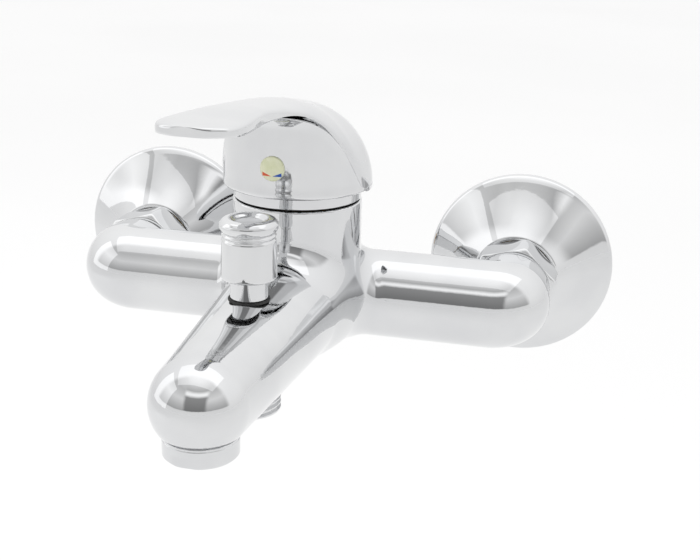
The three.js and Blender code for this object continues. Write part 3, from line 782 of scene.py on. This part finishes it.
knobProfile = [
    (0, 32), (8.0, 32), (8.0, 25.4), (8.6, 25.4), (9.0, 26.2), (8.75, 38.2), (8.3, 38.8), (8.3, 39.1), (8.85, 39.7),
    (8.3, 40.3), (8.3, 40.6), (8.9, 41.2), (9.45, 42.1), (9.45, 43.5), (8.3, 44.8), (6.4, 45.2), (5.6, 44.9),
    (4.6, 43.9), (2.4, 43.5), (0, 43.4),
]


def makeDiverter():
    axis = (0, outletY)
    points, faces = turned(soften(knobProfile, 0.55, 5), axis, sides=96)
    addPiece("diverterKnob", meshFrom("diverterKnob", points, faces), finishes["chrome_trim"], "diverter_pull",
             "chrome_trim", "diverter_knob")
    ring = closedRing([(6.4, 25.7), (7.9, 25.7), (7.9, 31.5), (6.4, 31.5)], 0.2)
    points, faces = turned(ring, axis, sides=96)
    addPiece("knobLiner", meshFrom("knobLiner", points, faces), finishes["rubber"], "diverter_pull", "rubber")
    neck = soften([(0, 12), (5.4, 12), (5.4, 18.7), (6.1, 18.9), (6.1, 30), (2, 30), (2, 27.6), (0, 27.6)], 0.3)
    points, faces = turned(neck, axis, sides=96)
    addPiece("diverterNeck", meshFrom("diverterNeck", points, faces), finishes["chrome_trim"], "mixer",
             "chrome_trim", "diverter_bonnet")
    ring = closedRing([(5.0, 18.0), (6.8, 18.0), (6.8, 18.6), (6.4, 18.8), (5.0, 18.8)], 0.2)
    points, faces = turned(ring, axis, sides=96)
    addPiece("neckSeal", meshFrom("neckSeal", points, faces), finishes["rubber"], "mixer", "rubber", "bonnet_seal")


makeDiverter()


# outlets under the spout

def makeOutlets():
    bottom, shoulder = boxOf("shower_outlet")[0][2], bodyShape["recessZ"] - 0.3
    zs = np.linspace(bottom + 0.6, shoulder, 90)
    wall = np.stack([np.full(len(zs), 10.4), zs], 1)
    shank = [(8.6, shoulder + 0.2), (8.6, -9), (6.9, -9), (6.9, bottom)]
    profile = np.concatenate([[(6.9, bottom), (9.6, bottom)], wall, shank])
    tooth = thread(1.8, 1.0, bottom + 0.3, shoulder + 0.4)

    def outside(angle, radius, height):
        return np.where(radius > 10.39, tooth(angle, radius, height), radius)

    points, faces = turned(profile, (0, outletY), sides=96, radiusOf=outside)
    addPiece("hoseOutlet", meshFrom("hoseOutlet", points, faces), finishes["chrome_trim"], "mixer", "chrome_trim",
             "shower_outlet")
    bottom, seam = boxOf("aerator_housing")[0][2], bodyShape["seatZ"] - 0.35
    ring = closedRing([(9.4, bottom), (10.8, bottom), (11.5, bottom + 0.8), (11.5, bottom + 3.6), (11.5, bottom + 3.7),
                       (11.5, seam - 0.9), (11.3, seam - 0.75), (11.5, seam - 0.6), (11.5, seam), (10.8, seam),
                       (10.8, -2), (9.4, -2)], 0.25)

    def flats(angle, radius, height):
        # two spanner flats, square to Y, on the lowest part
        toFlat = 10.4 / np.maximum(np.abs(np.sin(angle)), 1e-3)
        return np.where(height < bottom + 3.65, np.minimum(radius, np.maximum(toFlat, 9.4)), radius)

    points, faces = turned(ring, (0, aeratorY), sides=144, radiusOf=flats)
    addPiece("aeratorHousing", meshFrom("aeratorHousing", points, faces), finishes["chrome_trim"], "mixer",
             "chrome_trim", "aerator_housing")


makeOutlets()
print("diverter and outlets made")


# CAD nodes that stay: the pieces inside keep their shape and get their slot's finish

for part in record["subparts"]:
    node = nodes[part["node"]]
    if not node.hide_render:
        node.data.materials.clear()
        node.data.materials.append(finishes[part["material_slot"]])


# studio: pale floor, white surround and soft lamps

studio = {
    "floorZ": -0.42, "floorSize": 14.0, "floorTone": (0.96, 0.98),
    "surround": 1.45, "openingX": (-0.2, 0.45), "softEdge": 0.14,
    "lens": 60.97, "place": (0.11266, -0.46538, 0.1459), "azimuth": 13.18, "elevation": 18.65, "roll": 1.51,
}


def makeFloor():
    size = studio["floorSize"]
    mesh = bpy.data.meshes.new("floor")
    corner = [(-size, -size), (size, -size), (size, size), (-size, size)]
    mesh.from_pydata([(x, y, studio["floorZ"]) for x, y in corner], [], [(0, 1, 2, 3)])
    floor = bpy.data.objects.new("floor", mesh)
    bpy.context.scene.collection.objects.link(floor)
    material, tree, shader = newMaterial("floor")
    tone = placeGroup(tree, unevenFinish, Size=0.8, Low=studio["floorTone"][0], High=studio["floorTone"][1])
    tree.links.new(tone.outputs["Value"], shader.inputs["Base Color"])
    shader.inputs["Roughness"].default_value = 0.9
    mesh.materials.append(material)


def makeSurround():
    # A light tent: white above and behind, a greyer front, and in its middle a darker opening with soft
    # edges, which the chrome shows as a grey band with a lighter strip above it.
    world = bpy.data.worlds.new("surround")
    bpy.context.scene.world = world
    world.use_nodes = True
    tree = world.node_tree
    back = tree.nodes["Background"]
    place = tree.nodes.new("ShaderNodeTexCoord")
    split = tree.nodes.new("ShaderNodeSeparateXYZ")
    tree.links.new(place.outputs["Generated"], split.inputs["Vector"])

    def ramp(value, start, end, low, high):
        node = tree.nodes.new("ShaderNodeMapRange")
        node.interpolation_type = "SMOOTHSTEP"
        for label, number in (("From Min", start), ("From Max", end), ("To Min", low), ("To Max", high)):
            node.inputs[label].default_value = number
        tree.links.new(value, node.inputs["Value"])
        return node.outputs["Result"]

    def times(a, b):
        node = tree.nodes.new("ShaderNodeMath")
        node.operation = "MULTIPLY"
        tree.links.new(a, node.inputs[0])
        tree.links.new(b, node.inputs[1])
        return node.outputs["Value"]

    x, y, z = split.outputs["X"], split.outputs["Y"], split.outputs["Z"]

    def tones(value, stops):  # brightness at places along the value
        node = tree.nodes.new("ShaderNodeValToRGB")
        steps = node.color_ramp.elements
        while len(steps) < len(stops):
            steps.new(0.5)
        for step, (place, tone) in zip(steps, stops):
            step.position = place
            step.color = (tone, tone, tone, 1)
        tree.links.new(value, node.inputs["Fac"])
        return node.outputs["Color"]

    def over(factor, below, above):
        mix = tree.nodes.new("ShaderNodeMix")
        mix.data_type = "RGBA"
        tree.links.new(factor, mix.inputs["Factor"])
        tree.links.new(below, mix.inputs["A"])
        tree.links.new(above, mix.inputs["B"])
        return mix.outputs["Result"]

    walls = tones(z, [(0.0, 0.66), (0.3, 0.74), (0.7, 0.80), (1.0, 0.85)])
    room = tones(z, [(0.0, 0.64), (0.09, 0.62), (0.115, 0.34), (0.3, 0.46), (0.5, 0.62), (0.75, 0.46),
                     (0.92, 0.6), (1.0, 0.8)])
    opening = tones(z, [(0.0, 0.64), (0.09, 0.62), (0.12, 0.16), (0.58, 0.24), (0.66, 0.85), (0.7, 0.85),
                        (0.78, 0.4), (1.0, 0.75)])
    left, right = studio["openingX"]
    soft = studio["softEdge"]
    ahead = ramp(y, 0.0, -0.2, 0.0, 1.0)
    between = times(ramp(x, left - soft, left, 0.0, 1.0), ramp(x, right, right + soft, 1.0, 0.0))
    tone = over(times(ahead, between), over(ahead, walls, room), opening)
    tree.links.new(tone, back.inputs["Color"])
    back.inputs["Strength"].default_value = studio["surround"]


def makeLamp(name, place, aim, size, power):
    data = bpy.data.lights.new(name, "AREA")
    data.shape = "RECTANGLE"
    data.size, data.size_y = size
    data.energy = power
    lamp = bpy.data.objects.new(name, data)
    bpy.context.scene.collection.objects.link(lamp)
    lamp.location = place
    direction = np.array(place) - np.array(aim)
    back = direction / np.linalg.norm(direction)
    side = np.cross((0, 0, 1), back)
    side = side / np.linalg.norm(side)
    turn = np.stack([side, np.cross(back, side), back], 1)
    lamp.rotation_euler = Matrix(turn.tolist()).to_euler()


def makeCamera():
    # looks along azimuth and elevation, then turned about its own line of sight by the roll
    a, e, r = (math.radians(studio[k]) for k in ("azimuth", "elevation", "roll"))
    ahead = np.array([-math.sin(a) * math.cos(e), math.cos(a) * math.cos(e), -math.sin(e)])
    side = np.array([math.cos(a), math.sin(a), 0])
    up = np.cross(side, ahead)
    right = math.cos(r) * side + math.sin(r) * up
    top = -math.sin(r) * side + math.cos(r) * up
    data = bpy.data.cameras.new("camera")
    data.lens = studio["lens"]
    data.sensor_width = 36
    camera = bpy.data.objects.new("camera", data)
    bpy.context.scene.collection.objects.link(camera)
    turn = Matrix(np.stack([right, top, -ahead], 1).tolist()).to_4x4()
    camera.matrix_world = Matrix.Translation(studio["place"]) @ turn
    bpy.context.scene.camera = camera


makeFloor()
makeSurround()
makeLamp("overhead", (0.0, -0.15, 1.6), (0, -0.09, 0), (2.6, 1.6), 3.5)
makeLamp("leftSide", (-1.3, -0.4, 0.5), (0, -0.09, 0), (1.2, 1.2), 1.6)
makeCamera()
bpy.context.scene.view_settings.view_transform = "Standard"
print("studio made")
